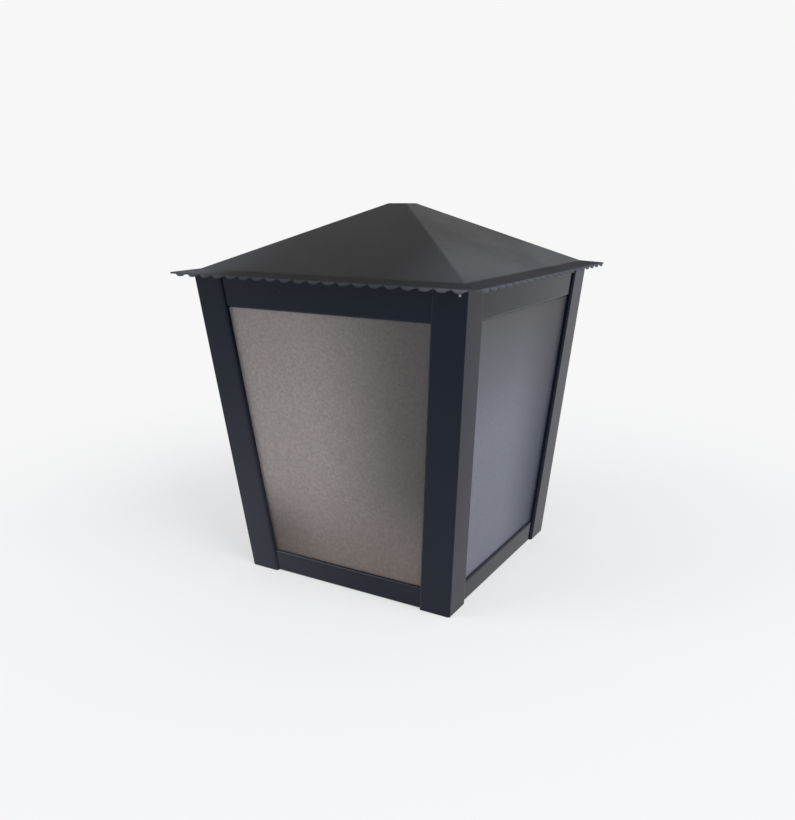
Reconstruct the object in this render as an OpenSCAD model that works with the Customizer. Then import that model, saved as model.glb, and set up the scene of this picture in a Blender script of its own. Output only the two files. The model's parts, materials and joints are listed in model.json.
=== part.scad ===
// Outdoor wall light: a square, tapered lantern of folded sheet steel with frosted panes.
// The lantern widens upwards under a low hipped roof with a scalloped brim. A folded strap
// bracket behind it carries it on the wall, and the lamp hangs inside from a strap under the roof.
// Sizes are in millimetres and angles in degrees. +Z is up, the front looks along -Y, and the
// origin is on the wall, midway between the two wall screws.

/* [Body] */
// Width of the body across its top edge
body_top_w = 180; // [165:1:220]
// Width of the body across its bottom edge
body_bottom_w = 145; // [130:1:160]
// Height of the body from its bottom edge to the seat of the roof
body_h = 191; // [180:1:240]
// Thickness of the sheet that the posts and rails are folded from
sheet_t = 1; // [0.8:0.1:1.2]
// Outside radius of every fold in that sheet
fold_r = 1.4; // [1.3:0.1:1.4]

/* [Posts and rails] */
// Width of each leg of a corner post
post_leg = 20; // [17:0.5:24]
// Depth of the lips round each pane, from the face of the posts
lip_depth = 3.2; // [3.1:0.1:4]
// How far the faces of the rails lie behind the faces of the posts
rail_set_back = 1.5; // [1.5:0.1:1.7]
// Height of the face of a top rail, measured down the slope
top_rail_h = 20.5; // [18:0.5:28]
// Height of the face of a bottom rail, measured up the slope
bottom_rail_h = 14; // [14:0.5:20]
// Width of the inward flange along each top rail
top_flange_w = 16; // [14:0.5:17]
// Width of the inward flange along each bottom rail
bottom_flange_w = 10; // [6:0.5:12]

/* [Panes] */
// Thickness of a pane
pane_t = 3; // [2:0.1:4]
// How far a pane reaches behind the lips
pane_cover = 4; // [3:0.1:4.5]
// Thickness of the sheet of the back panel
panel_t = 0.9; // [0.6:0.1:1.2]
// Thickness of a pane clip
clip_t = 0.8; // [0.5:0.1:1]
// Width of a pane clip
clip_w = 10; // [6:0.5:14]
// Distance of the clips from the middle of a pane
clip_x = 32; // [29:0.5:38]
// Length of the foot of a clip
clip_foot = 6.5; // [5:0.1:7]
// Length of the toe that presses on a pane
clip_toe = 4; // [3:0.1:6]
// Gap between the edge of a pane and its clips
clip_gap = 0.3; // [0.1:0.1:0.6]

/* [Roof] */
// Thickness of the sheet of the roof
roof_t = 0.9; // [0.6:0.1:1.2]
// Rise of the roof from its brim to its flat tip
roof_rise = 37; // [32:0.5:60]
// Width of the flat tip
roof_tip_w = 13; // [10:0.5:24]
// Outside radius of the hips and of the tip's edges
hip_r = 3.5; // [2:0.1:5]
// How far the foot of the roof slope lies inside the body's top edge
roof_inset = 3; // [2:0.1:4]
// Width of the brim from the foot of the slope to the roots of the scallops
brim_w = 12; // [10:0.5:16]
// Slope of the brim below the horizontal
brim_droop = 8; // [5:0.5:10]
// Distance between the middles of neighbouring scallops
scallop_pitch = 9.5; // [7:0.1:14]
// Plain gap between neighbouring scallops
scallop_gap = 0.8; // [0.4:0.1:1.5]
// How far the scallops stand out of the brim
scallop_depth = 2.2; // [1.2:0.1:3]
// Bend of the scallops below the brim
scallop_bend = 22; // [10:1:35]

/* [Wall bracket] */
// Width of the bracket
bracket_w = 50; // [44:1:56]
// Thickness of the bracket
bracket_t = 2; // [1.5:0.1:3]
// Outside radius of the bracket's folds
bracket_fold_r = 3.5; // [3.2:0.1:4.5]
// Gap that the brim keeps from the wall
wall_gap = 3.5; // [2:0.5:20]
// Distance between the two wall screws
wall_screw_spacing = 100; // [80:1:120]
// Diameter of the wall screw holes
wall_screw_hole_d = 6; // [5:0.1:8]
// Diameter of the cable hole in the bracket
bracket_cable_hole_d = 20; // [12:1:25]
// Distance of the foot screws from the middle of the bracket
foot_screw_x = 15; // [12:0.5:17]

/* [Lamp and lampholder] */
// Outside radius of the lampholder
holder_r = 23; // [20:0.5:28]
// Height of the lampholder
holder_h = 47; // [44:0.5:56]
// Depth of the lampholder's socket
socket_depth = 27; // [25:0.5:30]
// Outside radius of the threaded shell in the socket
shell_r = 14.2; // [13.9:0.1:15]
// Thickness of the shell and of its arm
shell_t = 0.5; // [0.3:0.1:0.6]
// Radius of the lamp's cap
cap_r = 13.2; // [12.8:0.1:13.3]
// Radius of the lamp's globe
globe_r = 30; // [22:0.5:34]
// Length of the lamp from its end contact to its tip
lamp_l = 108; // [95:1:115]

/* [Lamp strap and wiring] */
// Width of the strap that carries the lampholder
strap_w = 30; // [26:1:40]
// Thickness of that strap
strap_t = 2; // [1.5:0.1:2.2]
// Radius of the threaded nipple
nipple_r = 5; // [4.5:0.1:5.5]
// Radius of the nipple's bore
nipple_bore_r = 3.6; // [3.5:0.1:4]
// Radius of a lead
lead_r = 1.1; // [0.8:0.1:1.2]
// Distance of each lead from the middle of the nipple
lead_y = 1.8; // [1.6:0.1:2]
// Length of the terminal block across the strap
terminal_l = 20; // [18:0.5:24]
// Width of the terminal block along the strap
terminal_w = 18; // [17:0.5:20]
// Height of the terminal block
terminal_h = 15; // [14:0.5:16]
// Distance of the terminal block's middle from the nipple
terminal_x = 30; // [26:1:34]
// Bore of the cable grommet in the back panel
grommet_bore_d = 7; // [5:0.5:9]

/* [Fasteners and fits] */
// Diameter of the machine screws
screw_d = 4; // [3.5:0.1:4.2]
// Diameter of the small screws of the terminal block
small_screw_d = 3; // [2.5:0.1:3]
// Clearance of a screw in its clearance hole, on the diameter
hole_clearance = 0.4; // [0.2:0.1:0.8]
// Gap between mating threads, on the radius
thread_gap = 0.05; // [0.03:0.01:0.1]
// Gap between the lamp's cap and the shell, and round parts that slip into each other
slip_gap = 0.2; // [0.1:0.05:0.3]

/* [Hidden] */
$fn = 64;

// The tapered body: its halves, the lean of its faces and the lean of its corner edges
top_half = body_top_w / 2;
bottom_half = body_bottom_w / 2;
flare = top_half - bottom_half;
lean = atan(flare / body_h);
slant = body_h / cos(lean);
corner_lean = atan(flare * sqrt(2) / body_h);
corner_skew = atan(flare / slant);
half_dihedral = (180 - acos(pow(sin(lean), 2))) / 2;
// How far the arcs of a fold lie from tangency, so that they cross the flats in a clean edge
fold_ease = 0.005;
// A length beyond every face of the body, for cutting solids
reach = 2 * body_top_w;

// The pane openings, as heights along the slope of a face
opening_bottom = bottom_rail_h;
opening_top = slant - top_rail_h;
rail_back = rail_set_back + sheet_t;

// The roof: the foot of its slope, its slope angle and its brim
roof_foot_half = top_half - roof_inset;
roof_tip_half = roof_tip_w / 2;
roof_slope = atan(roof_rise / (roof_foot_half - roof_tip_half));
brim_drop_t = roof_t / cos(brim_droop);
roof_foot_z = body_h + roof_inset * tan(brim_droop) + brim_drop_t;
brim_half = roof_foot_half + brim_w * cos(brim_droop);
brim_edge_z = roof_foot_z - brim_w * sin(brim_droop);
scallop_w = scallop_pitch - scallop_gap;
scallop_r = (pow(scallop_w / 2, 2) + pow(scallop_depth, 2)) / (2 * scallop_depth);
scallop_count = floor((2 * brim_half - scallop_gap) / scallop_pitch);
// The scallops start just under the top edge of the brim, from a root inside the sheet
scallop_step = 0.1;
scallop_root = 0.25;

// Roof tabs, on the flanges of the front and back rails
tab_w = 14;
tab_t = sheet_t;
tab_x = 50;
tab_foot = 10;
tab_leg = 12;
tab_edge = 1;
tab_y = top_half - rail_set_back - top_flange_w + tab_edge;
tab_screw_y = tab_y + (tab_foot + tab_t) / 2;
tab_gap = 0.02;
roof_skin_drop = roof_t / cos(roof_slope) + tab_gap;

// The wall plane and the wall bracket
brim_reach = brim_half + scallop_depth * cos(brim_droop + scallop_bend);
wall_y = brim_reach + wall_gap;
bracket_edge = 2;
bracket_foot_top = 16;
bracket_foot_bottom = 13;
bracket_top_z = body_h - top_rail_h * cos(lean) + bracket_edge;
bracket_bottom_z = bottom_rail_h * cos(lean);
bracket_top_v = (bracket_top_z - rail_set_back * sin(lean)) / cos(lean);
bracket_bottom_v = (bracket_bottom_z - rail_set_back * sin(lean)) / cos(lean);
fixing_z = (bracket_top_z + bracket_bottom_z) / 2;
// A foot screw stands in the middle of the flat that the fold leaves on its foot
foot_screw_top_v = bracket_top_v + (bracket_foot_top + bracket_fold_r) / 2;
foot_screw_bottom_v = bracket_bottom_v - (bracket_foot_bottom + bracket_fold_r) / 2;

// The back panel's cable grommet
grommet_v = fixing_z / cos(lean);
grommet_wall = 2.5;
grommet_flange = 2.5;
grommet_flange_t = 2;
grommet_chamfer = 0.8;

// The lamp strap lies on the flanges of the side rails, and the lampholder hangs under it
strap_end_gap = 6;
strap_half = top_half - rail_set_back - strap_end_gap;
strap_screw_x = strap_half - (top_flange_w - strap_end_gap) / 2;
strap_top = body_h + strap_t;
holder_top = body_h;
holder_bottom = holder_top - holder_h;
socket_floor = holder_bottom + socket_depth;
floor_t = 4;
chamber_r = 12;
chamber_roof_t = 6;
chamber_top = holder_top - chamber_roof_t;
contact_r = 4;
contact_t = 1.2;
contact_space = 2;
stem_r = 1;
stem_out = 4;
stem_top = socket_floor + floor_t + stem_out;
shell_recess = 2;
shell_stem_x = 9;
shell_bore_r = shell_r - shell_t;
lamp_top = socket_floor - contact_t;
cap_l = 24;
nipple_nut_r = 8;
nipple_nut_h = 3;
nipple_out = 0.5;
nipple_top = strap_top + nipple_nut_h + nipple_out;

// Wiring
lead_bend_r = 4;
lead_rise = 0.5;
lead_z = nipple_top + lead_rise + lead_bend_r;
terminal_pole_y = 4.2;
terminal_tube_r = 2.6;
terminal_tube_bore_r = 1.9;
tube_recess = 1;
clamp_screw_d = 2.4;
clamp_screw_x = 5.5;

// Screw heads and slots, as shares of the screw's diameter
head_d = 1.9;
head_crown_d = 1.6;
head_h = 0.6;
slot_w = 0.24;
slot_floor = 0.3;
// How far a screw reaches past what it is screwed into
screw_out = 1;
// Machine nuts
nut_r = screw_d;
nut_h = 0.8 * screw_d;

// Frames

// Moves a piece from the foot of the lantern's axis to the origin on the wall
module in_place() {
    translate([0, -wall_y, -fixing_z]) children();
}

// Side number k, seen as the front: x runs along the face, y up its slope and z out of it
module on_face(k) {
    rotate([0, 0, 90 * k])
    translate([0, -bottom_half, 0])
    rotate([90 + lean, 0, 0])
    children();
}

// Extrudes a section along a face: its x is the depth behind the face, its y the height up it
module along_face(length) {
    rotate([0, 90, 0])
    linear_extrude(length, center = true)
    children();
}

// Extrudes a section along X, centred: its x is the world's Y, its y the world's Z
module along_x(length) {
    rotate([90, 0, 90])
    linear_extrude(length, center = true)
    children();
}

// Folded sheet

// A folded strip's way starts at the origin along +X, on its first line, with its thickness to
// the right. Each entry of its path is a length, corner to corner, and the turn after it:
// positive to the right, negative to the left. Point i comes before entry i.

// The direction of the way after point i
function heading(path, i) = i == 0 ? 0 : heading(path, i - 1) - path[i - 1][1];

// The turn at point i
function turn_at(path, i) = i == 0 ? 0 : path[i - 1][1];

// The direction of the way at point i, half way through its turn
function mid_heading(path, i) = heading(path, i) + turn_at(path, i) / 2;

// Point i of the first line
function way_point(path, i) =
    i == 0
    ? [0, 0]
    : way_point(path, i - 1)
        + path[i - 1][0] * [cos(heading(path, i - 1)), sin(heading(path, i - 1))];

// Point i of the line that runs at a given depth to the right of the first one
function strip_point(path, i, depth) =
    way_point(path, i)
    + depth / cos(turn_at(path, i) / 2) * [sin(mid_heading(path, i)), -cos(mid_heading(path, i))];

// The region between a fold's centre, its two sides at a given radius and the corner beyond
module fold_kite(r, turn) {
    half = abs(turn) / 2;
    polygon([
        [0, 0],
        [r * cos(half), -r * sin(half)],
        [r / cos(half), 0],
        [r * cos(half), r * sin(half)]
    ]);
}

// Places a child at the centre of each fold, with its +X towards the outer corner
module at_fold(path, i, t, r) {
    right = turn_at(path, i) > 0;
    translate(strip_point(path, i, right ? r : t - r))
    rotate(mid_heading(path, i) + (right ? 90 : -90))
    children();
}

// The section of a folded strip of thickness t, whose folds have the outside radius r: the
// sharp strip, with each inner corner filled to its arc and each outer corner cut to its arc
module folded(path, t, r) {
    last = len(path);
    difference() {
        union() {
            polygon(concat(
                [for (i = [0 : last]) strip_point(path, i, t)],
                [for (i = [last : -1 : 0]) strip_point(path, i, 0)]
            ));
            for (i = [1 : last - 1])
                at_fold(path, i, t, r)
                difference() {
                    fold_kite(r - t / 2, turn_at(path, i));
                    circle(r - t + fold_ease);
                }
        }
        for (i = [1 : last - 1])
            at_fold(path, i, t, r)
            difference() {
                fold_kite(r + t, turn_at(path, i));
                circle(r + fold_ease);
            }
    }
}

// Fasteners

// Pan-head screw with a slot: the shank runs down from the origin, the head stands on it
module screw(d, length) {
    difference() {
        union() {
            translate([0, 0, -length]) cylinder(d = d, h = length);
            cylinder(d1 = head_d * d, d2 = head_crown_d * d, h = head_h * d);
        }
        translate([-d, -slot_w * d / 2, slot_floor * d]) cube([2 * d, slot_w * d, d]);
    }
}

// Hexagon nut of a given radius across its corners, standing on the origin
module nut(d, r, h) {
    difference() {
        cylinder(r = r, h = h, $fn = 6);
        translate([0, 0, -h]) cylinder(d = d + 2 * thread_gap, h = 3 * h);
    }
}

// Roof

// The roof slopes and flat tip with rounded hips; a smaller radius gives the inner skin
module hipped_solid(r) {
    foot_z = roof_foot_z - hip_r / cos(roof_slope);
    tip_z = roof_foot_z + roof_rise - hip_r;
    tip_x = roof_foot_half - (hip_r + (roof_rise - hip_r) * cos(roof_slope)) / sin(roof_slope);
    hull() {
        for (x = [-1, 1], y = [-1, 1]) {
            translate([x * roof_foot_half, y * roof_foot_half, foot_z]) sphere(r, $fn = 32);
            translate([x * tip_x, y * tip_x, tip_z]) sphere(r, $fn = 32);
        }
    }
}

// A square cone frustum with its top and bottom edges level
module square_frustum(foot_half, top_half, foot_z, top_z, base_z) {
    rotate([0, 0, 45])
    rotate_extrude($fn = 4)
    polygon([
        [0, base_z],
        [foot_half * sqrt(2), base_z],
        [foot_half * sqrt(2), foot_z],
        [top_half * sqrt(2), top_z],
        [0, top_z]
    ]);
}

// One side's row of scallops, bent down from the edge of the brim
module scallop_row() {
    row_half = scallop_count * scallop_pitch / 2;
    translate([0, -brim_half, brim_edge_z - scallop_step])
    rotate([brim_droop + scallop_bend, 0, 0])
    mirror([0, 1, 0])
    translate([0, 0, -roof_t])
    linear_extrude(roof_t) {
        translate([-row_half, -scallop_root]) square([2 * row_half, scallop_root]);
        for (i = [0 : scallop_count - 1])
            translate([(i + 0.5) * scallop_pitch - row_half, 0])
            intersection() {
                translate([0, scallop_depth - scallop_r]) circle(scallop_r);
                translate([-scallop_pitch, -scallop_root])
                square([2 * scallop_pitch, scallop_root + 2 * scallop_depth]);
            }
    }
}

module roof_cap() {
    color([0.25, 0.25, 0.27])
    in_place()
    difference() {
        union() {
            difference() {
                hipped_solid(hip_r);
                translate([-reach, -reach, roof_foot_z - brim_drop_t - reach])
                cube([2 * reach, 2 * reach, reach]);
            }
            square_frustum(brim_half, roof_foot_half, brim_edge_z, roof_foot_z, brim_edge_z - brim_drop_t);
            for (k = [0 : 3]) rotate([0, 0, 90 * k]) scallop_row();
        }
        hipped_solid(hip_r - roof_t);
        square_frustum(
            brim_half + roof_t, roof_foot_half,
            brim_edge_z - brim_drop_t - roof_t * tan(brim_droop), roof_foot_z - brim_drop_t,
            brim_edge_z - reach
        );
    }
}

// Places a child at each of the four roof tabs, seen as one on the front flange
module at_roof_tabs() {
    for (k = [0, 2], x = [-tab_x, tab_x])
        rotate([0, 0, 90 * k])
        translate([x, 0, 0])
        children();
}

// A tab stands on the flange and lies along the inside of the roof slope
module roof_tab() {
    inner_z = roof_foot_z + (roof_foot_half - tab_y) * tan(roof_slope) - roof_skin_drop;
    difference() {
        along_x(tab_w)
        union() {
            translate([-tab_y - tab_foot, body_h]) square([tab_foot, tab_t]);
            translate([-tab_y - tab_t, body_h]) square([tab_t, inner_z - body_h - tab_t]);
            translate([-tab_y, inner_z])
            rotate(roof_slope)
            translate([-2 * tab_t, -tab_t])
            square([tab_leg + 2 * tab_t, tab_t]);
        }
        translate([0, -tab_screw_y, body_h - tab_t])
        cylinder(d = screw_d + 2 * thread_gap, h = 3 * tab_t);
    }
}

module roof_tabs() {
    color([0.62, 0.63, 0.65])
    in_place()
    at_roof_tabs() roof_tab();
}

// Axis of the screw under each roof tab
module at_tab_screw() {
    translate([0, -tab_screw_y, body_h - sheet_t]) children();
}

module roof_screws() {
    color([0.7, 0.7, 0.68])
    in_place()
    at_roof_tabs()
    at_tab_screw()
    rotate([180, 0, 0])
    screw(screw_d, sheet_t + tab_t + screw_out);
}

// Corner posts

// A post is one strip with five faces: lip, leg, leg, lip, folded along the corner edge
module corner_post(k) {
    path = [[lip_depth, 90], [post_leg, 180 - 2 * half_dihedral], [post_leg, 90], [lip_depth, 0]];
    start = [
        -post_leg * cos(half_dihedral) - lip_depth * sin(half_dihedral),
        post_leg * sin(half_dihedral) - lip_depth * cos(half_dihedral)
    ];
    intersection() {
        rotate([0, 0, 90 * k - 45])
        translate([bottom_half * sqrt(2), 0, 0])
        rotate([0, corner_lean, 0])
        translate([0, 0, -body_h / 2])
        linear_extrude(2 * body_h)
        translate(start)
        rotate(90 - half_dihedral)
        folded(path, sheet_t, fold_r);
        translate([-reach / 2, -reach / 2, 0]) cube([reach, reach, body_h]);
    }
}

module post(k) {
    color([0.1, 0.11, 0.15])
    in_place()
    corner_post(k);
}

// Rails

// Half the width between the posts' lips at a height up the face
function clear_half(v) = bottom_half + v * tan(corner_skew) - post_leg / cos(corner_skew);

// The region of a face between two heights, wider than the clear width by a given margin
module face_region(v0, v1, margin = 0) {
    m = margin / cos(corner_skew);
    polygon([
        [-clear_half(v0) - m, v0],
        [clear_half(v0) + m, v0],
        [clear_half(v1) + m, v1],
        [-clear_half(v1) - m, v1]
    ]);
}

// A rail's section is cut off square to the face by the lips of both posts
module rail(k) {
    intersection() {
        on_face(k) along_face(body_top_w) children();
        on_face(k)
        translate([0, 0, -2 * top_flange_w])
        linear_extrude(4 * top_flange_w)
        face_region(-top_flange_w, slant + top_flange_w);
    }
}

module top_rail_section() {
    corner_v = (body_h - rail_set_back * sin(lean)) / cos(lean);
    path = [
        [lip_depth - rail_set_back, 90],
        [corner_v - opening_top, 90 + lean],
        [top_flange_w, 0]
    ];
    translate([lip_depth, opening_top])
    rotate(180)
    folded(path, sheet_t, fold_r);
}

module bottom_rail_section() {
    corner_v = -rail_set_back * tan(lean);
    path = [
        [bottom_flange_w, 90 - lean],
        [opening_bottom - corner_v, 90],
        [lip_depth - rail_set_back, 0]
    ];
    translate([
        rail_set_back + bottom_flange_w * cos(lean),
        corner_v - bottom_flange_w * sin(lean)
    ])
    rotate(180 - lean)
    folded(path, sheet_t, fold_r);
}

// Clearance hole through a rail's face for one foot screw, in the face's frame
module foot_screw_hole(x, v) {
    translate([x, v, -lip_depth]) cylinder(d = screw_d + hole_clearance, h = 2 * lip_depth);
}

module top_rail(k) {
    color([0.1, 0.11, 0.15])
    in_place()
    difference() {
        rail(k) top_rail_section();
        if (k % 2 == 0) {
            at_roof_tabs()
            at_tab_screw()
            translate([0, 0, -sheet_t])
            cylinder(d = screw_d + hole_clearance, h = 3 * sheet_t);
        } else {
            for (x = [-strap_screw_x, strap_screw_x])
                translate([x, 0, body_h - 2 * sheet_t])
                cylinder(d = screw_d + hole_clearance, h = 3 * sheet_t);
        }
        if (k == 2) {
            on_face(k)
            for (x = [-foot_screw_x, foot_screw_x]) foot_screw_hole(x, foot_screw_top_v);
        }
    }
}

module bottom_rail(k) {
    color([0.1, 0.11, 0.15])
    in_place()
    difference() {
        rail(k) bottom_rail_section();
        if (k == 2) {
            on_face(k)
            for (x = [-foot_screw_x, foot_screw_x]) foot_screw_hole(x, foot_screw_bottom_v);
        }
    }
}

// Panes and back panel

module pane(k) {
    color([0.72, 0.7, 0.68])
    in_place()
    on_face(k)
    translate([0, 0, -lip_depth - pane_t])
    linear_extrude(pane_t)
    face_region(opening_bottom - pane_cover, opening_top + pane_cover, pane_cover);
}

// The back panel is a shallow tray of the same outline and depth as a pane
module back_panel() {
    color([0.1, 0.11, 0.15])
    in_place()
    on_face(2)
    difference() {
        translate([0, 0, -lip_depth - pane_t])
        linear_extrude(pane_t)
        face_region(opening_bottom - pane_cover, opening_top + pane_cover, pane_cover);
        translate([0, 0, -lip_depth - panel_t - pane_t])
        linear_extrude(pane_t)
        face_region(
            opening_bottom - pane_cover + panel_t, opening_top + pane_cover - panel_t,
            pane_cover - panel_t
        );
        translate([0, grommet_v, -lip_depth - pane_t])
        cylinder(d = grommet_bore_d + 2 * grommet_wall, h = 2 * pane_t);
    }
}

// Section of a clip: its toe on the pane's inner face, its foot on the back of the rail. The
// inside radius of its folds is the gap at the pane's edge, so the fold clears that edge.
module clip_section() {
    path = [
        [clip_toe, -90],
        [lip_depth + pane_t - rail_back, 90],
        [clip_foot, 0]
    ];
    translate([lip_depth + pane_t, clip_gap - clip_toe])
    rotate(90)
    folded(path, clip_t, clip_t + clip_gap);
}

module pane_clips() {
    color([0.75, 0.75, 0.73])
    in_place()
    for (k = [0 : 3], x = [-clip_x, clip_x])
        on_face(k)
        translate([x, 0, 0]) {
            translate([0, opening_top + pane_cover, 0]) along_face(clip_w) clip_section();
            translate([0, opening_bottom - pane_cover, 0])
            mirror([0, 1, 0])
            along_face(clip_w)
            clip_section();
        }
}

// A rubber ring that grips the edge of the panel's cable hole
module cable_grommet() {
    bore = grommet_bore_d / 2;
    neck = bore + grommet_wall;
    rim = neck + grommet_flange;
    color([0.08, 0.08, 0.08])
    in_place()
    on_face(2)
    translate([0, grommet_v, -lip_depth])
    rotate_extrude()
    polygon([
        [bore, grommet_flange_t],
        [rim - grommet_chamfer, grommet_flange_t],
        [rim, grommet_flange_t - grommet_chamfer],
        [rim, 0],
        [neck, 0],
        [neck, -panel_t],
        [rim, -panel_t],
        [rim, -panel_t - grommet_flange_t + grommet_chamfer],
        [rim - grommet_chamfer, -panel_t - grommet_flange_t],
        [bore, -panel_t - grommet_flange_t]
    ]);
}

// Wall bracket

// One strip: a foot on each back rail, two arms of unequal length and an upright web
module bracket_section() {
    web_y = wall_y - bracket_t;
    face_y = bottom_half - rail_set_back / cos(lean);
    top_arm = web_y - face_y - bracket_top_z * tan(lean);
    bottom_arm = web_y - face_y - bracket_bottom_z * tan(lean);
    path = [
        [bracket_foot_top, 90 + lean],
        [top_arm, -90],
        [bracket_top_z - bracket_bottom_z, -90],
        [bottom_arm, 90 - lean],
        [bracket_foot_bottom, 0]
    ];
    translate([rail_set_back, bracket_top_v + bracket_foot_top])
    rotate(-90)
    folded(path, bracket_t, bracket_fold_r);
}

module wall_bracket() {
    color([0.1, 0.11, 0.15])
    in_place()
    difference() {
        on_face(2) along_face(bracket_w) bracket_section();
        for (z = [-1, 0, 1])
            translate([0, wall_y + bracket_t, fixing_z + z * wall_screw_spacing / 2])
            rotate([90, 0, 0])
            cylinder(d = z == 0 ? bracket_cable_hole_d : wall_screw_hole_d, h = 3 * bracket_t);
        on_face(2)
        for (x = [-foot_screw_x, foot_screw_x], v = [foot_screw_top_v, foot_screw_bottom_v])
            foot_screw_hole(x, v);
    }
}

// Places a child at each foot screw, on the outer face of the rail
module at_foot_screws() {
    on_face(2)
    for (x = [-foot_screw_x, foot_screw_x], v = [foot_screw_top_v, foot_screw_bottom_v])
        translate([x, v, -rail_set_back])
        children();
}

module bracket_screws() {
    color([0.7, 0.7, 0.68])
    in_place()
    at_foot_screws()
    translate([0, 0, -sheet_t])
    rotate([180, 0, 0])
    screw(screw_d, sheet_t + bracket_t + nut_h + screw_out);
}

module bracket_nuts() {
    color([0.7, 0.7, 0.68])
    in_place()
    at_foot_screws()
    translate([0, 0, bracket_t])
    nut(screw_d, nut_r, nut_h);
}

// Lamp strap and lampholder

module lamp_strap() {
    color([0.62, 0.63, 0.65])
    in_place()
    difference() {
        translate([-strap_half, -strap_w / 2, body_h]) cube([2 * strap_half, strap_w, strap_t]);
        for (x = [-strap_screw_x, strap_screw_x])
            translate([x, 0, body_h - strap_t])
            cylinder(d = screw_d + 2 * thread_gap, h = 3 * strap_t);
        translate([0, 0, body_h - strap_t]) cylinder(r = nipple_r + slip_gap, h = 3 * strap_t);
        translate([terminal_x, 0, body_h - strap_t])
        cylinder(d = small_screw_d + 2 * thread_gap, h = 3 * strap_t);
        translate([-terminal_x, 0, body_h - strap_t])
        cylinder(d = screw_d + hole_clearance, h = 3 * strap_t);
    }
}

module strap_screws() {
    color([0.7, 0.7, 0.68])
    in_place()
    for (x = [-strap_screw_x, strap_screw_x])
        translate([x, 0, body_h - sheet_t])
        rotate([180, 0, 0])
        screw(screw_d, sheet_t + strap_t + screw_out);
}

// Porcelain body: a socket below, a wiring chamber above and a bore for the nipple
module lampholder() {
    shoulder = 8;
    bead = 1.5;
    color([0.93, 0.92, 0.88])
    in_place()
    difference() {
        rotate_extrude() {
            translate([0, holder_bottom + bead]) square([holder_r, holder_h - shoulder - bead]);
            translate([0, holder_bottom]) square([holder_r, 2 * bead]);
            translate([0, holder_top - shoulder]) square([holder_r - shoulder, shoulder]);
            intersection() {
                translate([holder_r - shoulder, holder_top - shoulder]) circle(shoulder);
                translate([0, holder_top - shoulder]) square([holder_r, shoulder]);
            }
            translate([holder_r, holder_bottom + bead])
            intersection() {
                circle(bead);
                translate([0, -bead]) square([bead, 2 * bead]);
            }
        }
        translate([0, 0, holder_bottom - socket_depth])
        cylinder(r = shell_r + slip_gap, h = 2 * socket_depth);
        translate([0, 0, socket_floor + floor_t])
        cylinder(r = chamber_r, h = chamber_top - socket_floor - floor_t);
        translate([0, 0, chamber_top - floor_t]) cylinder(r = nipple_r + thread_gap, h = reach);
        for (hole = [[0, -lead_y], [shell_stem_x, 0]])
            translate([hole.x, hole.y, socket_floor - floor_t])
            cylinder(r = stem_r + slip_gap, h = 3 * floor_t);
    }
}

// Threaded shell: a tube with a pierced floor and a stem and arm up to the neutral lead
module lampholder_shell() {
    arm_z = stem_top - shell_t;
    color([0.85, 0.68, 0.35])
    in_place()
    difference() {
        union() {
            translate([0, 0, holder_bottom + shell_recess])
            cylinder(r = shell_r, h = socket_depth - shell_recess);
            translate([shell_stem_x, 0, socket_floor - shell_t])
            cylinder(r = stem_r, h = stem_top - socket_floor + shell_t);
            translate([-stem_r, lead_y - stem_r, arm_z])
            cube([shell_stem_x + stem_r, 2 * stem_r, shell_t]);
            translate([shell_stem_x - stem_r, -stem_r, arm_z])
            cube([2 * stem_r, lead_y + 2 * stem_r, shell_t]);
        }
        translate([0, 0, holder_bottom - shell_t])
        cylinder(r = shell_bore_r, h = socket_depth);
        translate([0, 0, socket_floor - 2 * shell_t])
        cylinder(r = contact_r + contact_space, h = 2 * shell_t);
    }
}

// Centre contact: a disc under the socket's floor with a stem up to the live lead
module lampholder_contact() {
    color([0.85, 0.68, 0.35])
    in_place() {
        translate([0, 0, lamp_top]) cylinder(r = contact_r, h = contact_t);
        translate([0, -lead_y, lamp_top + contact_t / 2])
        cylinder(r = stem_r, h = stem_top - lamp_top - contact_t / 2);
    }
}

module nipple() {
    color([0.7, 0.7, 0.68])
    in_place()
    difference() {
        translate([0, 0, chamber_top]) cylinder(r = nipple_r, h = nipple_top - chamber_top);
        translate([0, 0, chamber_top - nipple_r])
        cylinder(r = nipple_bore_r, h = nipple_top - chamber_top + 2 * nipple_r);
    }
}

module nipple_nut() {
    color([0.7, 0.7, 0.68])
    in_place()
    translate([0, 0, strap_top])
    nut(2 * nipple_r, nipple_nut_r, nipple_nut_h);
}

// The lamp is sealed: a cap, a tapering neck and a globe, as one solid
module lamp() {
    button_r = contact_r;
    button_h = 2.2;
    globe_z = lamp_top - lamp_l + globe_r;
    neck_top = lamp_top - cap_l;
    // The neck runs tangent into the globe
    reach_z = neck_top - globe_z;
    span = sqrt(pow(reach_z, 2) + pow(cap_r, 2));
    tangent = acos(globe_r / span) - atan(cap_r / reach_z);
    color([0.95, 0.94, 0.9])
    in_place()
    rotate_extrude() {
        translate([0, lamp_top - button_h]) square([button_r, button_h]);
        translate([0, neck_top]) square([cap_r, cap_l - button_h]);
        intersection() {
            translate([0, globe_z]) circle(globe_r);
            translate([0, globe_z - globe_r]) square([globe_r, 2 * globe_r]);
        }
        polygon([
            [0, globe_z],
            [globe_r * sin(tangent), globe_z + globe_r * cos(tangent)],
            [cap_r, neck_top],
            [0, neck_top]
        ]);
    }
}

// Terminals and leads

module at_poles() {
    for (y = [-terminal_pole_y, terminal_pole_y])
        translate([terminal_x, y, lead_z])
        children();
}

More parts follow.
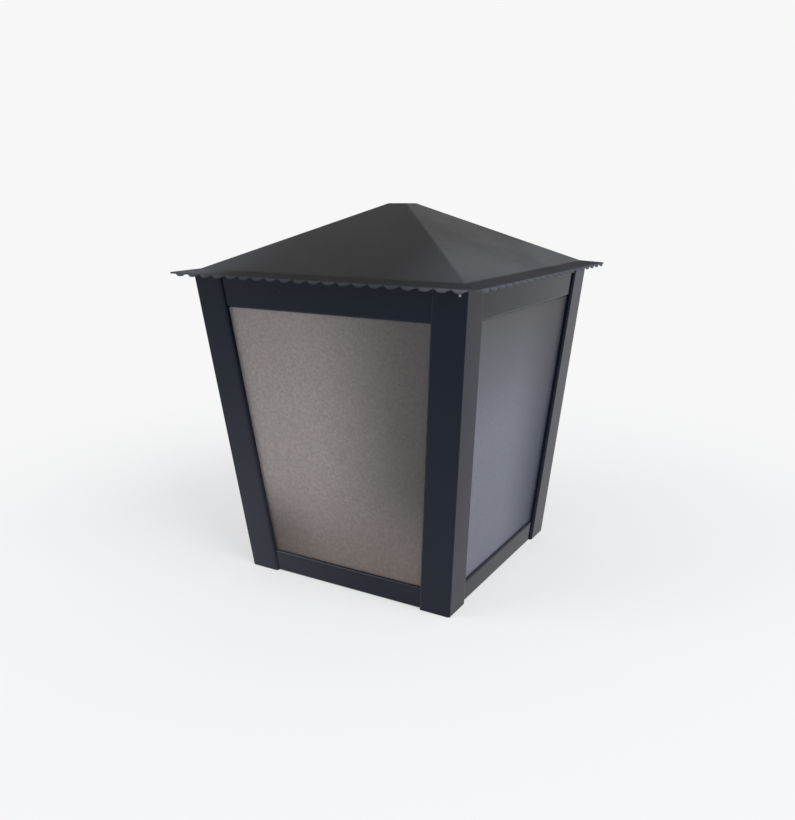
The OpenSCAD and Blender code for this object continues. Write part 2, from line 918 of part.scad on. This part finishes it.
module terminal_block() {
    color([0.9, 0.9, 0.86])
    in_place()
    difference() {
        translate([terminal_x - terminal_w / 2, -terminal_l / 2, strap_top])
        cube([terminal_w, terminal_l, terminal_h]);
        at_poles()
        rotate([0, 90, 0])
        cylinder(r = terminal_tube_r, h = 2 * terminal_w, center = true);
        at_poles()
        for (x = [-clamp_screw_x, clamp_screw_x])
            translate([x, 0, 0])
            cylinder(d = 2 * clamp_screw_d, h = terminal_h);
        translate([terminal_x, 0, 0]) cylinder(d = small_screw_d + hole_clearance, h = reach);
        translate([terminal_x, 0, strap_top + terminal_h - small_screw_d])
        cylinder(d = 2 * small_screw_d, h = 2 * small_screw_d);
    }
}

module terminal_tubes() {
    color([0.85, 0.68, 0.35])
    in_place()
    at_poles()
    difference() {
        rotate([0, 90, 0])
        cylinder(r = terminal_tube_r, h = terminal_w - 2 * tube_recess, center = true);
        rotate([0, 90, 0]) cylinder(r = terminal_tube_bore_r, h = terminal_w, center = true);
        for (x = [-clamp_screw_x, clamp_screw_x])
            translate([x, 0, 0])
            cylinder(d = clamp_screw_d + 2 * thread_gap, h = terminal_h);
    }
}

module clamp_screws() {
    length = terminal_tube_r - lead_r;
    color([0.7, 0.7, 0.68])
    in_place()
    at_poles()
    for (x = [-clamp_screw_x, clamp_screw_x])
        translate([x, 0, lead_r + length])
        screw(clamp_screw_d, length);
}

module terminal_screw() {
    color([0.7, 0.7, 0.68])
    in_place()
    translate([terminal_x, 0, strap_top + terminal_h - small_screw_d])
    screw(small_screw_d, terminal_h - small_screw_d + strap_t + screw_out);
}

// A lead rises through the nipple, bends over and runs into its pole
module lead(side, foot_z) {
    run_y = side * (terminal_pole_y - lead_y);
    run = sqrt(pow(terminal_x, 2) + pow(run_y, 2)) - lead_bend_r;
    translate([0, side * lead_y, 0])
    rotate([0, 0, atan(run_y / terminal_x)]) {
        translate([0, 0, foot_z]) cylinder(r = lead_r, h = lead_z - lead_bend_r - foot_z);
        translate([lead_bend_r, 0, lead_z - lead_bend_r])
        rotate([90, 0, 180])
        rotate_extrude(angle = 90)
        translate([lead_bend_r, 0])
        circle(lead_r);
        translate([lead_bend_r, 0, lead_z]) rotate([0, 90, 0]) cylinder(r = lead_r, h = run);
    }
}

module live_lead() {
    color([0.36, 0.2, 0.12])
    in_place()
    lead(-1, stem_top);
}

module neutral_lead() {
    color([0.15, 0.3, 0.6])
    in_place()
    lead(1, stem_top);
}

// Earth screw through the strap, for the earth conductor of the supply
module earth_screw() {
    color([0.85, 0.68, 0.35])
    in_place()
    translate([-terminal_x, 0, strap_top])
    screw(screw_d, strap_t + nut_h + screw_out);
}

module earth_nut() {
    color([0.85, 0.68, 0.35])
    in_place()
    translate([-terminal_x, 0, body_h - nut_h])
    nut(screw_d, nut_r, nut_h);
}

roof_cap();
roof_tabs();
roof_screws();
post(0);  // post_front_right
post(1);  // post_back_right
post(2);  // post_back_left
post(3);  // post_front_left
top_rail(0);  // top_rail_front
top_rail(1);  // top_rail_right
top_rail(2);  // top_rail_back
top_rail(3);  // top_rail_left
bottom_rail(0);  // bottom_rail_front
bottom_rail(1);  // bottom_rail_right
bottom_rail(2);  // bottom_rail_back
bottom_rail(3);  // bottom_rail_left
pane(0);  // pane_front
pane(1);  // pane_right
pane(3);  // pane_left
back_panel();
pane_clips();
cable_grommet();
wall_bracket();
bracket_screws();
bracket_nuts();
lamp_strap();
strap_screws();
lampholder();
lampholder_shell();
lampholder_contact();
nipple();
nipple_nut();
lamp();
terminal_block();
terminal_tubes();
clamp_screws();
terminal_screw();
live_lead();
neutral_lead();
earth_screw();
earth_nut();
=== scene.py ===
"""Looks of an outdoor wall light: a tapered lantern of painted sheet steel with frosted panes."""

import json
import math

import bpy
from mathutils import Matrix, Vector


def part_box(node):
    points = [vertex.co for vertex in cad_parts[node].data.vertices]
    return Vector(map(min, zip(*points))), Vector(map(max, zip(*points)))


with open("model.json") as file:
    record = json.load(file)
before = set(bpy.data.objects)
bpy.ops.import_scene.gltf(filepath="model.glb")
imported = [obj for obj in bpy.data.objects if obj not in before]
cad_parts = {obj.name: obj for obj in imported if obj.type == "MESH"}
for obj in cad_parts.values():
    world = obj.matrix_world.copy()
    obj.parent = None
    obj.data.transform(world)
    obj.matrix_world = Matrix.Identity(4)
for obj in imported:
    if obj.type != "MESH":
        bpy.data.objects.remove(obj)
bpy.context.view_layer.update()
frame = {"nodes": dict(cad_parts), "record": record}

NODES = frame["nodes"]
MM = 0.001

# Where the lantern is: its foot, its top edge and its corners, from the posts
post_lows = [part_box(n)[0] for n in NODES if n.startswith("post_")]
post_highs = [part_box(n)[1] for n in NODES if n.startswith("post_")]
foot_z = min(p.z for p in post_lows)
body_top_z = max(p.z for p in post_highs)
front_y = min(p.y for p in post_lows)
back_y = max(p.y for p in post_highs)
body_w = max(p.x for p in post_highs) - min(p.x for p in post_lows)
axis_y = (front_y + back_y) / 2
body_h = body_top_z - foot_z
brim_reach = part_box("roof_cap")[1].x
foot_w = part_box("bottom_rail_right")[1].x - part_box("bottom_rail_left")[0].x
side_lean = (body_w - foot_w) / 2 / body_h
pane_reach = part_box("pane_right")[1].x - body_h * side_lean


# Shader maths

class Wire:
    """A value in a finish. Its operators add Math nodes."""

    def __init__(self, finish, socket):
        self.finish = finish
        self.socket = socket

    def math(self, operation, *others):
        return self.finish.node("Math", {"operation": operation}, [self, *others])

    def __add__(self, other):
        return self.math("ADD", other)

    def __sub__(self, other):
        return self.math("SUBTRACT", other)

    def __rsub__(self, other):
        return self.finish.node("Math", {"operation": "SUBTRACT"}, [other, self])

    def __mul__(self, other):
        return self.math("MULTIPLY", other)

    def __neg__(self):
        return self * -1

    __radd__ = __add__
    __rmul__ = __mul__


class Finish:
    """A material in the making: adds nodes, and ends in one surface."""

    def __init__(self, name):
        self.material = bpy.data.materials.new(name)
        self.material.use_nodes = True
        self.tree = self.material.node_tree
        self.tree.nodes.clear()

    def node(self, kind, settings=None, inputs=(), output=0):
        """Adds a shader node, sets it up, feeds its sockets and returns one of its outputs."""
        node = self.tree.nodes.new("ShaderNode" + kind)
        for key, value in (settings or {}).items():
            setattr(node, key, value)
        pairs = inputs.items() if isinstance(inputs, dict) else enumerate(inputs)
        for key, value in pairs:
            self.feed(node.inputs[key], value)
        return Wire(self, node.outputs[output])

    def feed(self, socket, value):
        if isinstance(value, Wire):
            self.tree.links.new(value.socket, socket)
        elif value is not None:
            socket.default_value = value

    def place(self):
        """Where a point is, in its object's own frame."""
        return self.node("TexCoord", output="Object")

    def across(self):
        """How far to the right of the lantern's axis, in metres."""
        return self.node("SeparateXYZ", inputs=[self.place()], output="X")

    def depth(self):
        """How far behind the lantern's axis, in metres."""
        return self.node("SeparateXYZ", inputs=[self.place()], output="Y") - axis_y

    def height(self):
        """The height above the lantern's foot, in metres."""
        return self.node("SeparateXYZ", inputs=[self.place()], output="Z") - foot_z

    def noise(self, size, detail=2, roughness=0.5, stretch=None):
        """Soft noise from 0 to 1, with lumps of about a given size in metres."""
        where = self.place()
        if stretch:
            where = self.node("VectorMath", {"operation": "MULTIPLY"}, [where, stretch])
        return self.node(
            "TexNoise",
            inputs={"Vector": where, "Scale": 1 / size, "Detail": detail, "Roughness": roughness},
            output="Fac",
        )

    def between(self, value, low, high):
        """0 below low, 1 above high and a smooth rise between."""
        return self.node(
            "MapRange", {"interpolation_type": "SMOOTHSTEP"}, [value, low, high, 0.0, 1.0]
        )

    def near(self, point, radius, edge):
        """1 within a radius of a point, fading out over an edge."""
        gap = self.node("VectorMath", {"operation": "DISTANCE"}, [self.place(), point], "Value")
        return 1 - self.between(gap, radius, radius + edge)

    def mix(self, factor, first, second):
        """Colour mixed from two colours."""
        colours = [c if isinstance(c, Wire) else (*c, 1) for c in (first, second)]
        return self.node(
            "Mix", {"data_type": "RGBA"}, {"Factor": factor, 6: colours[0], 7: colours[1]}, output=2
        )

    def shade(self, colour, factor):
        """A colour made lighter or darker by a factor."""
        return self.node("VectorMath", {"operation": "SCALE"}, {"Vector": colour, "Scale": factor})

    def bump(self, height, depth, normal=None):
        """Normal of a relief whose height value 1 stands a given depth in metres."""
        return self.node("Bump", inputs={"Height": height, "Distance": depth, "Normal": normal})

    def surface(self, **sockets):
        """Ends the finish in one Principled surface, with sockets named in words_with_underscores."""
        named = {key.replace("_", " "): value for key, value in sockets.items()}
        self.end(self.node("BsdfPrincipled", inputs=named))
        return self.material

    def end(self, shader):
        out = self.tree.nodes.new("ShaderNodeOutputMaterial")
        self.tree.links.new(shader.socket, out.inputs["Surface"])


# Finishes. The slow shades of the enamel, the roof and the glass stand in for the photo's light

CHIP_CENTRE = (body_w / 2 - 4.4 * MM, front_y + 0.3 * MM, body_top_z - 4.5 * MM)
CHIP_RADIUS = 0.45 * MM
CHIP_EDGE = 0.5 * MM


def gloss_enamel():
    """Navy-black gloss enamel with a painted reflection that makes it lighter towards the foot and the
    left, with a chip at the front corner.
    """
    f = Finish("navy_black_gloss_enamel")
    tone = f.noise(0.045, 3)
    colour = f.mix(tone, (0.0034, 0.0056, 0.0122), (0.0054, 0.0082, 0.0172))
    # Painted reflection: the enamel is made lighter towards the foot and towards the left, standing in for
    # reflected light.
    haze_and_painted_sheen = (1 - f.between(f.height(), 0.0, body_h * 0.95)) * (0.75 + f.noise(0.02, 3) * 0.5)
    haze_and_painted_sheen = haze_and_painted_sheen * (0.3 + 0.6 * (1 - f.between(f.across(), -body_w * 0.45, body_w * 0.2)))
    colour = f.mix(haze_and_painted_sheen, colour, (0.031, 0.034, 0.044))
    dust = f.between(f.noise(0.0011, 1), 0.72, 0.80) * f.between(f.noise(0.03, 2), 0.45, 0.7)
    colour = f.mix(dust * 0.25, colour, (0.09, 0.09, 0.1))
    smear = f.noise(0.03, 4, 0.6, (1, 1, 0.35))
    chip = f.near(CHIP_CENTRE, CHIP_RADIUS, CHIP_EDGE)
    colour = f.mix(chip, colour, (0.42, 0.4, 0.38))
    waves = f.bump(f.noise(0.06, 1), 0.3 * MM)
    peel = f.bump(f.noise(0.0016, 2), 0.006 * MM, waves)
    return f.surface(
        Base_Color=colour,
        Roughness=0.07 + smear * 0.08 + dust * 0.3 + chip * 0.3,
        Specular_IOR_Level=0.16,
        Specular_Tint=(0.86, 0.93, 1.0, 1),
        Normal=peel,
    )


def satin_roof_paint():
    """Satin dark grey paint with a fine texture, with painted sheen that makes its ends lighter, a darker
    painted shade band on the brim and a painted highlight on the scallops' rim.
    """
    f = Finish("satin_dark_grey_roof_paint")
    bloom = f.between(f.noise(0.05, 4, 0.6), 0.35, 0.75)
    grain = f.noise(0.0013, 3, 0.6)
    colour = f.mix(bloom, (0.0095, 0.0093, 0.0094), (0.0155, 0.0149, 0.0149))
    colour = f.mix(grain * 0.35, colour, (0.006, 0.006, 0.0064))
    sideways = f.node("Math", {"operation": "ABSOLUTE"}, [f.across()])
    # Painted sheen: the roof is made lighter towards its left and right ends.
    ends = f.between(sideways, body_w * 0.2, body_w * 0.52)
    colour = f.mix(ends * 0.85, colour, (0.046, 0.048, 0.059))
    reach = f.node("Math", {"operation": "MAXIMUM"}, [
        sideways,
        f.node("Math", {"operation": "ABSOLUTE"}, [f.depth()]),
    ])
    # Painted shade: a darker band near the brim's edge, weaker on the left; it also makes the paint
    # rougher there.
    painted_shade_band = f.between(reach, brim_reach - 15 * MM, brim_reach - 12 * MM)
    painted_shade_band = painted_shade_band * (1 - 0.8 * f.between(-f.across(), body_w * 0.25, body_w * 0.5))
    colour = f.mix(painted_shade_band * 0.7, colour, (0.0055, 0.0055, 0.0065))
    # Painted highlight: the scallops' rim is made lighter, most on the right.
    rim = f.between(reach, brim_reach - 2.6 * MM, brim_reach - 1.4 * MM)
    right = f.between(f.across(), body_w * 0.3, body_w * 0.52)
    colour = f.mix(rim * (0.3 + right * 0.5), colour, (0.1, 0.107, 0.125))
    waves = f.bump(f.noise(0.07, 1), 0.4 * MM)
    texture = f.bump(grain, 0.02 * MM, waves)
    return f.surface(
        Base_Color=colour,
        Roughness=0.36 + bloom * 0.1 + grain * 0.06 + painted_shade_band * 0.3,
        Specular_IOR_Level=0.07,
        Normal=texture,
    )


def frosted_glass():
    """Frosted glass with a sandy grain and painted light: warm grey, but cool on the right, and darker by
    the posts in painted shade.
    """
    f = Finish("frosted_glass")
    grain = f.between(f.noise(0.0019, 3, 0.7), 0.25, 0.75)
    cloud = f.noise(0.05, 2)
    # Painted light: the front and left panes are tinted warm and the right pane cool, as lit copies of one
    # glass.
    warm = f.mix(cloud, (0.275, 0.242, 0.229), (0.312, 0.277, 0.263))
    cool = f.mix(cloud, (0.155, 0.163, 0.203), (0.186, 0.195, 0.238))
    side = f.between(f.across() - f.height() * side_lean, pane_reach - 6 * MM, pane_reach - 3 * MM)
    front = 1 - side
    colour = f.mix(side, warm, cool)
    # Painted shade: the front pane is darker towards its right post and its top.
    painted_shade_near_post = f.between(f.across(), -body_w * 0.13, body_w * 0.34)
    painted_shade_near_post = painted_shade_near_post * f.between(f.height(), -0.03, body_h * 0.45)
    colour = f.mix(front * painted_shade_near_post * 0.84, colour, (0.034, 0.03, 0.031))
    # Painted shade in the front pane's lower left corner.
    painted_shade_at_foot = f.near((-body_w * 0.33, front_y + 0.02, foot_z + 0.012), 0.01, 0.042)
    colour = f.mix(front * painted_shade_at_foot * 0.78, colour, (0.03, 0.03, 0.032))
    # Painted shade: the front and left panes are darker and browner low down.
    painted_shade_low = 1 - f.between(f.height(), body_h * 0.05, body_h * 0.4)
    colour = f.mix(front * painted_shade_low * 0.7, colour, (0.135, 0.102, 0.085))
    # Painted shade: the right pane is darker and bluer towards the back.
    painted_shade_far_side = f.between(f.depth(), -body_w * 0.04, body_w * 0.3)
    colour = f.mix(side * painted_shade_far_side * 0.74, colour, (0.005, 0.012, 0.03))
    # Painted shade: the panes are darker towards the top, most on the right pane.
    top = f.between(f.height(), body_h * 0.45, body_h * 0.95)
    colour = f.mix(top * (0.26 + side * 0.59), colour, (0.05, 0.047, 0.047))
    return f.surface(
        Base_Color=f.shade(colour, 0.82 + 0.36 * grain),
        Roughness=0.42 + grain * 0.15,
        IOR=1.5,
        Specular_IOR_Level=0.36,
        Transmission_Weight=0.15,
        Normal=f.bump(grain, 0.1 * MM),
    )


def zinc_plate():
    """Bright zinc plating with a faint spangle."""
    f = Finish("zinc_plating")
    spangle = f.node("TexVoronoi", inputs={"Vector": f.place(), "Scale": 450.0}, output="Distance")
    haze_and_painted_sheen = f.noise(0.008, 3)
    colour = f.mix(haze_and_painted_sheen, (0.5, 0.51, 0.52), (0.64, 0.65, 0.66))
    return f.surface(
        Base_Color=f.mix(spangle * 0.4, colour, (0.45, 0.46, 0.49)),
        Metallic=1.0,
        Roughness=0.28 + haze_and_painted_sheen * 0.2,
        Normal=f.bump(f.noise(0.002, 2), 0.015 * MM),
    )


def turned_brass():
    """Brass with fine turning marks and a light tarnish."""
    f = Finish("turned_brass")
    tarnish = f.between(f.noise(0.006, 4, 0.6), 0.4, 0.75)
    marks = f.noise(0.004, 2, 0.5, (1, 1, 30))
    return f.surface(
        Base_Color=f.mix(tarnish, (0.78, 0.58, 0.26), (0.5, 0.36, 0.17)),
        Metallic=1.0,
        Roughness=0.24 + tarnish * 0.2 + marks * 0.06,
        Normal=f.bump(marks, 0.02 * MM),
    )


def moulded(name, light, dark, roughness, grain_size=0.0009):
    """A moulded or glazed finish in two close shades, with a fine grain."""
    f = Finish(name)
    shade = f.noise(0.01, 3)
    grain = f.noise(grain_size, 2)
    return f.surface(
        Base_Color=f.mix(shade, light, dark),
        Roughness=roughness + shade * 0.1,
        Normal=f.bump(grain, 0.015 * MM),
    )


FINISHES = {
    "body_paint": gloss_enamel(),
    "roof_paint": satin_roof_paint(),
    "frosted_glass": frosted_glass(),
    "zinc_plate": zinc_plate(),
    "brass": turned_brass(),
    "black_rubber": moulded("black_rubber", (0.028, 0.028, 0.029), (0.018, 0.018, 0.019), 0.6),
    "porcelain": moulded("glazed_porcelain", (0.84, 0.82, 0.77), (0.78, 0.76, 0.71), 0.1, 0.003),
    "opal_lamp": moulded("opal_glass", (0.86, 0.85, 0.81), (0.81, 0.8, 0.76), 0.14, 0.004),
    "white_plastic": moulded("white_nylon", (0.76, 0.76, 0.72), (0.68, 0.68, 0.64), 0.4),
    "brown_sleeve": moulded("brown_sleeve", (0.16, 0.075, 0.035), (0.12, 0.055, 0.026), 0.35),
    "blue_sleeve": moulded("blue_sleeve", (0.035, 0.1, 0.34), (0.026, 0.08, 0.27), 0.35),
}


# CAD pieces

EDGE_SOFTNESS = {"body_paint": 0.22 * MM, "roof_paint": 0.15 * MM, "frosted_glass": 0.4 * MM}
SMALL_EDGE_SOFTNESS = 0.12 * MM
SOFTENED_ABOVE = math.radians(35)


def dress(node, slot):
    """Gives a CAD node its finish, and soft edges that catch the light."""
    piece = NODES[node]
    if not piece.material_slots:
        piece.data.materials.append(None)
    for place in piece.material_slots:
        place.material = FINISHES[slot]
    weld = piece.modifiers.new("weld", "WELD")
    weld.merge_threshold = 0.002 * MM
    bevel = piece.modifiers.new("soft_edges", "BEVEL")
    bevel.width = EDGE_SOFTNESS.get(slot, SMALL_EDGE_SOFTNESS)
    bevel.segments = 2
    bevel.limit_method = "ANGLE"
    bevel.angle_limit = SOFTENED_ABOVE
    bevel.loop_slide = False
    normals = piece.modifiers.new("even_normals", "WEIGHTED_NORMAL")
    normals.keep_sharp = True


for part in frame["record"]["subparts"]:
    dress(part["node"], part["material_slot"])


# Camera at the photograph's place, measured from the foot of the lantern's axis, angles in radians

FRAME_W, FRAME_H = 795, 820
FOCAL_PX = 801.6
AXIS_PX = (427.0, 416.8)
CAMERA_AZIMUTH = 0.5071
CAMERA_ELEVATION = 0.2659
CAMERA_ROLL = 0.001
CAMERA_FROM_FOOT = Vector((0.26186, -0.43975, 0.23211))
SENSOR = 36.0

back = Vector((
    math.sin(CAMERA_AZIMUTH) * math.cos(CAMERA_ELEVATION),
    -math.cos(CAMERA_AZIMUTH) * math.cos(CAMERA_ELEVATION),
    math.sin(CAMERA_ELEVATION),
))
right = Vector((0, 0, 1)).cross(back).normalized()
up = back.cross(right)
lens = bpy.data.cameras.new("camera")
lens.sensor_width = SENSOR
lens.lens = FOCAL_PX * SENSOR / FRAME_H
lens.shift_x = (FRAME_W / 2 - AXIS_PX[0]) / FRAME_H
lens.shift_y = (AXIS_PX[1] - FRAME_H / 2) / FRAME_H
lens.clip_start = 0.01
camera = bpy.data.objects.new("camera", lens)
turn = Matrix((right, up, back)).transposed() @ Matrix.Rotation(CAMERA_ROLL, 3, "Z")
camera.matrix_world = Matrix.Translation(Vector((0, axis_y, foot_z)) + CAMERA_FROM_FOOT) @ turn.to_4x4()
bpy.context.scene.collection.objects.link(camera)
bpy.context.scene.camera = camera


# Studio

BACKGROUND = (0.93, 0.93, 0.93, 1)
SURROUND = (0.46, 0.48, 0.52, 1)
FLOOR_PAINT = (0.9, 0.9, 0.9, 1)
FLOOR_RADIUS = 6
FLOOR_GAP = 0.1 * MM
FLATTENED_AT_LANTERN = 0.55
FLATTENING_FROM = 0.1
FLAT_FROM = 0.55
SOFTBOX_SIZE = 1.2


def world_light():
    """A dim even surround for the object, shown pale to the camera and in gloss and glass."""
    world = bpy.data.worlds.new("studio")
    world.use_nodes = True
    tree = world.node_tree
    tree.nodes.clear()
    path = tree.nodes.new("ShaderNodeLightPath")
    seen = path.outputs["Is Camera Ray"]
    for ray in ("Is Glossy Ray", "Is Transmission Ray"):
        either = tree.nodes.new("ShaderNodeMath")
        either.operation = "MAXIMUM"
        tree.links.new(seen, either.inputs[0])
        tree.links.new(path.outputs[ray], either.inputs[1])
        seen = either.outputs[0]
    dim = tree.nodes.new("ShaderNodeBackground")
    dim.inputs["Color"].default_value = SURROUND
    pale = tree.nodes.new("ShaderNodeBackground")
    pale.inputs["Color"].default_value = BACKGROUND
    mix = tree.nodes.new("ShaderNodeMixShader")
    tree.links.new(seen, mix.inputs[0])
    tree.links.new(dim.outputs[0], mix.inputs[1])
    tree.links.new(pale.outputs[0], mix.inputs[2])
    out = tree.nodes.new("ShaderNodeOutputWorld")
    tree.links.new(mix.outputs[0], out.inputs["Surface"])
    bpy.context.scene.world = world


def softbox(name, place, watts, colour):
    """A square soft light aimed at the middle of the lantern."""
    light = bpy.data.lights.new(name, "AREA")
    light.size = SOFTBOX_SIZE
    light.energy = watts
    light.color = colour
    lamp = bpy.data.objects.new(name, light)
    lamp.location = Vector(place)
    target = Vector((0, axis_y, (foot_z + body_top_z) / 2))
    lamp.rotation_euler = (lamp.location - target).to_track_quat("Z", "Y").to_euler()
    bpy.context.scene.collection.objects.link(lamp)


def pale_floor():
    """A wide floor that keeps the lantern's shadow and fades to the background's tone where it is seen."""
    bpy.ops.mesh.primitive_circle_add(
        vertices=96, radius=FLOOR_RADIUS, fill_type="NGON", location=(0, axis_y, foot_z - FLOOR_GAP)
    )
    floor = bpy.context.object
    floor.name = "floor"
    f = Finish("pale_floor")
    lit = f.node("BsdfDiffuse", inputs={"Color": FLOOR_PAINT})
    flat = f.node("Emission", inputs={"Color": BACKGROUND, "Strength": 1.0})
    gap = f.node("VectorMath", {"operation": "LENGTH"}, [f.place()], "Value")
    away = f.between(gap, FLATTENING_FROM, FLAT_FROM)
    share = FLATTENED_AT_LANTERN + (1 - FLATTENED_AT_LANTERN) * away
    seen = f.node("LightPath", output="Is Camera Ray")
    for ray in ("Is Glossy Ray", "Is Transmission Ray"):
        seen = f.node("Math", {"operation": "MAXIMUM"}, [seen, f.node("LightPath", output=ray)])
    f.end(f.node("MixShader", inputs=[seen * share, lit, flat]))
    floor.data.materials.append(f.material)


world_light()
softbox("key", (1.3, -0.5, 1.3), 22, (0.95, 0.97, 1.0))
softbox("fill", (-1.2, -1.3, 0.8), 12, (1.0, 0.97, 0.93))
pale_floor()
bpy.context.scene.view_settings.view_transform = "Standard"
